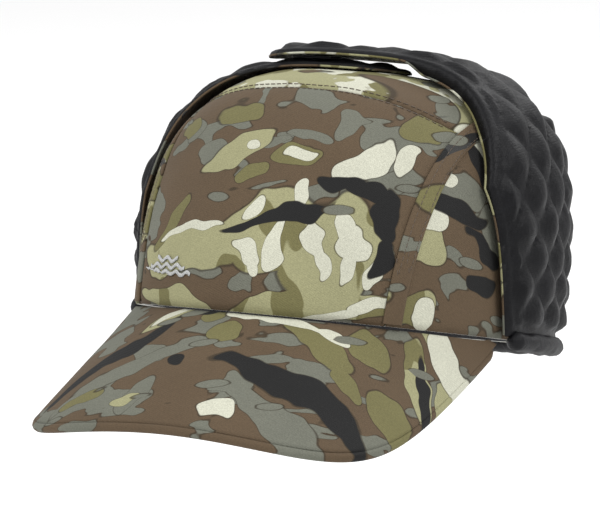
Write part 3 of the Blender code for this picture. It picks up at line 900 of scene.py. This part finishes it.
def inner_skin(name, outer, inner, top, node_name):
    """A layer inside the crown, up to a height or, with no height given, over the whole crown."""
    bm = block_skin(outer, HEIGHT + outer, CROWN_SQUARENESS, FINE)
    bounds = [plane((0, 0, 0.2), (0, 0, 1))]
    if top:
        bounds.append(plane((0, 0, top), (0, 0, -1)))
    for place, normal in bounds:
        cut(bm, place, normal)
    wall = inner - outer

    def hidden_side(point):
        return slow_waves(point, 20.0, 0.1) if top else 0.0

    def worn_side(point):
        return wall + (0.5 * (1 - ease((top - point.z) / 3.0)) if top else slow_waves(point, 16.0, 0.5))

    thicken(bm, hidden_side, worn_side)
    finish_piece(bm, name, "crown", lining_cloth, [node_name])


inner_skin("crown_lining_cloth", -5.2, -6.4, None, "crown_lining")
inner_skin("sweatband_cloth", -6.8, -8.2, BAND_HEIGHT, "sweatband")

# %% [markdown]
# ## Stitches
# Rows of thread show where a cap is sewn. One stitch is a short six-sided rod, laid along the line of the
# seam and sunk a little into the cloth. Rows follow both cross seams and both felled strips. A curve with
# a bevel would give an unbroken thread, so the rods are laid one by one.

# %% One row of stitches
STITCH_PITCH, STITCH_LENGTH, THREAD = 2.9, 2.1, 0.2


def thread_material(name, colour):
    """Twisted thread: a plain colour that varies a little along the ply."""
    made = bpy.data.materials.new(name)
    made.use_nodes = True
    tree = made.node_tree
    shader = tree.nodes["Principled BSDF"]
    place = node(tree, "TexCoord").outputs["Object"]
    twist = node(tree, "TexNoise", None, (), Vector=place, Scale=2500.0).outputs[0]
    value = node(tree, "MapRange", None, (twist, 0.3, 0.7, 0.7, 1.25)).outputs[0]
    tint = node(tree, "HueSaturation", None, (), Value=value, Color=colour).outputs[0]
    tree.links.new(tint, shader.inputs["Base Color"])
    shader.inputs["Roughness"].default_value = 0.55
    return made


def lay_rod(bm, middle, line, radius, length):
    """A short six-sided rod of thread along a line."""
    aim = line.to_track_quat("Z", "Y").to_matrix().to_4x4()
    bmesh.ops.create_cone(bm, cap_ends=True, segments=6, radius1=radius, radius2=radius, depth=length,
                          matrix=Matrix.Translation(middle) @ aim)


def sew(bm, points):
    """Lay stitches along a line of points."""
    run = 0.0
    for first, second in zip(points, points[1:]):
        run += (second - first).length
        if run >= STITCH_PITCH:
            run = 0.0
            lay_rod(bm, second, second - first, THREAD, STITCH_LENGTH)


# %% Lines of the seams
def over_cloth(spot, lift):
    """A block point, moved out along the block's normal to lie on the uneven cloth."""
    step = 0.5
    along_x = on_block(spot.x + step, spot.y) - on_block(spot.x - step, spot.y)
    along_y = on_block(spot.x, spot.y + step) - on_block(spot.x, spot.y - step)
    return spot + along_x.cross(along_y).normalized() * (cloth_rise(spot) + lift)


def halve(x, is_short):
    """How far forward a line over the crown runs before the rule fails, found by halving."""
    low, high = 0.0, HALF_LENGTH * sqrt(1 - (x / HALF_WIDTH) ** 2)
    for _ in range(30):
        middle = (low + high) / 2
        if is_short(middle):
            low = middle
        else:
            high = middle
    return low


def across_seam(x, end, offset):
    """The point of the crown on a line beside a cross seam."""
    def is_short(reach):
        height = on_block(x, end * reach).z
        return TOP_SEAM.z * height - TOP_SEAM.y * reach > TOP_SEAM_REACH + offset

    return over_cloth(on_block(x, end * halve(x, is_short)), 0.02)


def beside_seam(side, offset, y):
    """The point of a felled strip on a line beside its slanted seam."""
    spot = on_block(side * (SIDE_SEAM + offset), y)
    for _ in range(6):
        spot = on_block(side * (SIDE_SEAM + offset + SIDE_SEAM_LEAN * spot.z), y)
    return over_cloth(spot, 1.0)


# %% Sewn rows
seam_thread = thread_material("seam_thread", shade(78, 66, 54))
bm = bmesh.new()
for end in (-1, 1):
    for offset in (1.9, -1.9):
        sew(bm, [across_seam(-59 + i * 0.5, end, offset) for i in range(237)])
for side in (-1, 1):
    for offset in (0.4, 3.6):
        reach = HALF_LENGTH * sqrt(1 - ((SIDE_SEAM + offset) / HALF_WIDTH) ** 2) - 1.5
        sew(bm, [beside_seam(side, offset, -reach * cos(pi * i / 900)) for i in range(901)])
finish_piece(bm, "crown_stitches", "crown", seam_thread, [])

# %% [markdown]
# ## Woven mark
# The front carries a small plain mark in grey thread: three rippled bars, low on the wearer's right.

# %% Woven mark
mark_thread = thread_material("mark_thread", shade(176, 177, 176))


def on_front(x, z, grow):
    """The point of the front panel at a height."""
    return on_block(x, -halve(x, lambda reach: on_block(x, -reach, grow).z > z), grow)


MARK_ROWS, MARK_FOOT, MARK_STEP = ((-56, -24), (-52, -28), (-47, -33)), 14.4, 0.5
bm = bmesh.new()
for row, (low, high) in enumerate(MARK_ROWS):
    for i in range(int((high - low) / MARK_STEP)):
        x = low + MARK_STEP * i
        z = MARK_FOOT + 3.0 * row + 0.9 * sin(x * 0.9)
        foot, head = on_front(x, z - 0.75, 0.35), on_front(x + 0.15, z + 0.75, 0.35)
        lay_rod(bm, (foot + head) / 2, head - foot, 0.3, 1.7)
finish_piece(bm, "front_mark", "crown", mark_thread, ["front_emblem"])


# %% [markdown]
# ## The cut of the cloth
# Each cloth was a flat piece before it was sewn.

# %% [markdown]
# ## Pieces kept from the frame
# The visor board, the wadding and the fastening patches already have their true shape, so each keeps its
# solid and gets a finish of its own.

# %% Finishes for kept pieces
def plain_finish(name, colour, roughness, scale, depth):
    """A flat colour with a grain of a scale and a depth."""
    made = bpy.data.materials.new(name)
    made.use_nodes = True
    tree = made.node_tree
    shader = tree.nodes["Principled BSDF"]
    place = node(tree, "TexCoord").outputs["Object"]
    grain = node(tree, "TexNoise", None, (), Vector=place, Scale=scale, Detail=4.0).outputs[0]
    value = node(tree, "MapRange", None, (grain, 0.3, 0.7, 0.8, 1.2)).outputs[0]
    tint = node(tree, "HueSaturation", None, (), Value=value, Color=colour).outputs[0]
    tree.links.new(tint, shader.inputs["Base Color"])
    bump = node(tree, "Bump", None, (), Strength=0.5, Distance=depth, Height=grain).outputs[0]
    tree.links.new(bump, shader.inputs["Normal"])
    shader.inputs["Roughness"].default_value = roughness
    print(name, len(tree.nodes), "nodes")
    return made


board_finish = plain_finish("board_sheet", shade(60, 60, 62), 0.5, 300.0, 0.0002)
wadding_finish = plain_finish("wadding", shade(228, 228, 222), 0.95, 400.0, 0.001)
patch_finish = plain_finish("hook_tape", shade(30, 30, 31), 0.9, 1600.0, 0.0006)
for node_name, finish in (("visor_board", board_finish), ("crown_insulation", wadding_finish),
                          ("left_tip_patch", patch_finish), ("right_tip_patch", patch_finish)):
    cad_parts[node_name].data.materials.clear()
    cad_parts[node_name].data.materials.append(finish)

# %% [markdown]
# ## Floor, light and camera
# A pale floor and large soft lights keep the background quiet. The cap hangs clear of the floor, as it
# would on a head, so that the flaps have room to fold down. The camera stands in front of the cap, a
# little to the wearer's left and a little above it, far away with a long lens.

# %% Floor
FLOOR_BELOW = 0.16
low_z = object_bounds()[0][2]
bm = bmesh.new()
bmesh.ops.create_grid(bm, x_segments=1, y_segments=1, size=6.0)
bmesh.ops.translate(bm, vec=(0, 0, low_z - FLOOR_BELOW), verts=bm.verts)
floor_mesh = bpy.data.meshes.new("floor")
bm.to_mesh(floor_mesh)
bm.free()
floor = bpy.data.objects.new("floor", floor_mesh)
bpy.context.collection.objects.link(floor)
floor_material = bpy.data.materials.new("pale_floor")
floor_material.use_nodes = True
floor_shader = floor_material.node_tree.nodes["Principled BSDF"]
floor_shader.inputs["Base Color"].default_value = (0.9, 0.9, 0.9, 1)
floor_shader.inputs["Roughness"].default_value = 0.9
floor_mesh.materials.append(floor_material)


# %% Lights
def soft_light(name, place, power, size):
    """A square area light that faces the cap."""
    lamp = bpy.data.lights.new(name, "AREA")
    lamp.energy, lamp.size = power, size
    holder = bpy.data.objects.new(name, lamp)
    holder.location = place
    holder.rotation_euler = (Vector((0, 0, 0.05)) - Vector(place)).to_track_quat("-Z", "Y").to_euler()
    bpy.context.collection.objects.link(holder)


soft_light("key", (-0.9, -1.5, 1.5), 26, 1.2)
soft_light("fill", (1.5, -0.1, 1.7), 22, 0.9)
soft_light("back", (0.4, 1.7, 1.5), 18, 1.4)
world = bpy.data.worlds.new("studio")
world.use_nodes = True
sky = world.node_tree.nodes["Background"]
sky.inputs["Color"].default_value = (1, 1, 1, 1)
sky.inputs["Strength"].default_value = 0.85
bpy.context.scene.world = world
bpy.context.scene.view_settings.view_transform = "Standard"
print("lights", [light.name for light in bpy.data.lights])

# %% Camera
AZIMUTH, ELEVATION, DISTANCE, LENS = radians(27), radians(10), 3.2, 428.0
aim_at = Vector((-0.0173, -0.0026, 0.0312))
away = Vector((sin(AZIMUTH) * cos(ELEVATION), -cos(AZIMUTH) * cos(ELEVATION), sin(ELEVATION)))
camera_data = bpy.data.cameras.new("camera")
camera_data.lens = LENS
camera_data.clip_end = 30.0
camera = bpy.data.objects.new("camera", camera_data)
camera.location = aim_at + away * DISTANCE
camera.rotation_euler = away.to_track_quat("Z", "Y").to_euler()
bpy.context.collection.objects.link(camera)
bpy.context.scene.camera = camera
